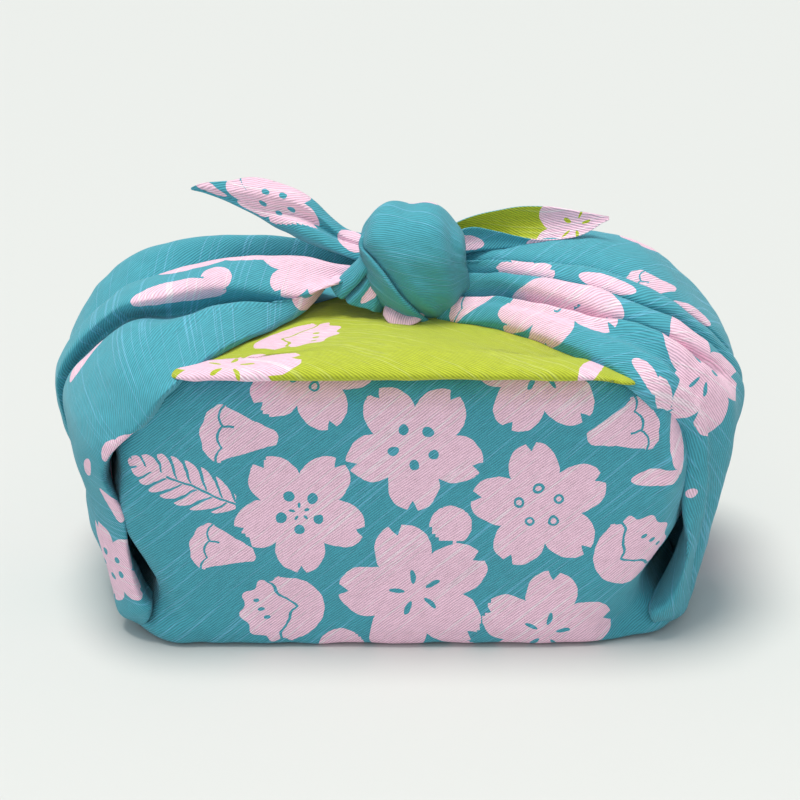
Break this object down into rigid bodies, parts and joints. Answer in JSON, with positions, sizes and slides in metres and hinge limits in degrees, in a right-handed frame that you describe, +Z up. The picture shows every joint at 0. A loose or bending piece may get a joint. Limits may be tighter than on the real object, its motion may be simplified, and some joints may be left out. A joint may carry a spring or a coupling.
{
  "type": "furoshiki wrap",
  "caption": "Square printed cotton cloth wrapped round a lunch box, gathered over both sides and tied in a square knot on top with two free ends.",
  "frame": {"origin": "middle of the flat base that the bundle rests on", "axes": "+Z up out of the base towards the knot, +X along the bundle from one gathered side to the other, -Y towards the front face with the turned-back corner above it"},
  "size_m": [0.2278, 0.1165, 0.1366],
  "materials": {
    "printed_cotton": "matt slub cotton, teal with pink blossoms outside, lime green with pink blossoms inside"
  },
  "bodies": {
    "root": {"wrapped_cloth": "printed_cotton"}
  },
  "joints": []
}
